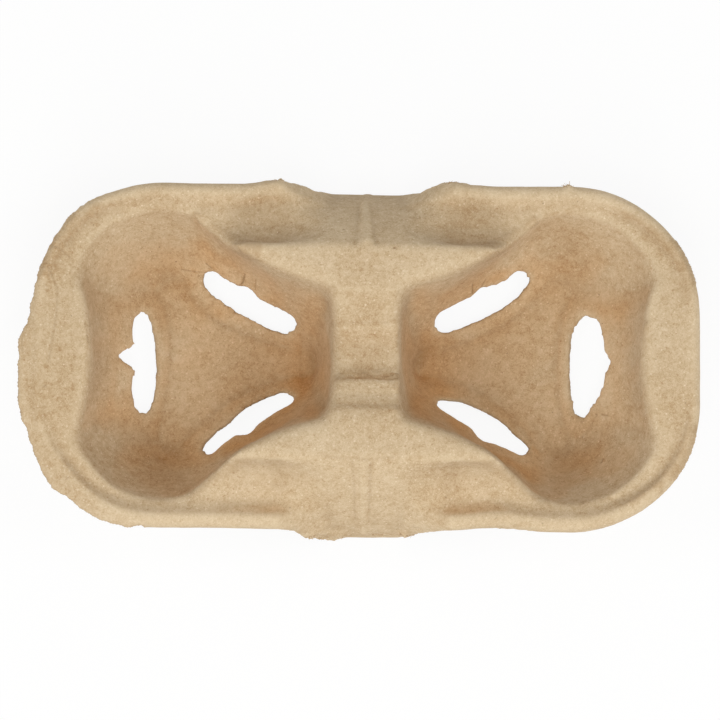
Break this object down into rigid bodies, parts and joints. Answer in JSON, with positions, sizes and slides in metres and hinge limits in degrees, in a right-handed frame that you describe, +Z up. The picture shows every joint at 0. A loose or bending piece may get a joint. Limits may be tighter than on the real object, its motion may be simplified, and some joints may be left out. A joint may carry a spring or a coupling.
{
  "type": "two-cup drink carrier of moulded pulp",
  "caption": "Oblong moulded pulp tray with two deep flared cup wells, a raised stepped bridge between them, a rolled rim, scooped side aprons and torn slots round the well floors.",
  "frame": {"origin": "on the table, under the middle of the overall length and width", "axes": "+X along the length through both cup wells, with the flattened stretch of rim at the -X end; +Y across the carrier; +Z up out of the wells"},
  "size_m": [0.2182, 0.114, 0.0445],
  "materials": {
    "pulp": "matt moulded paper pulp in kraft tan, finely fibrous on both faces"
  },
  "bodies": {
    "root": {"carrier": "pulp"}
  },
  "joints": []
}
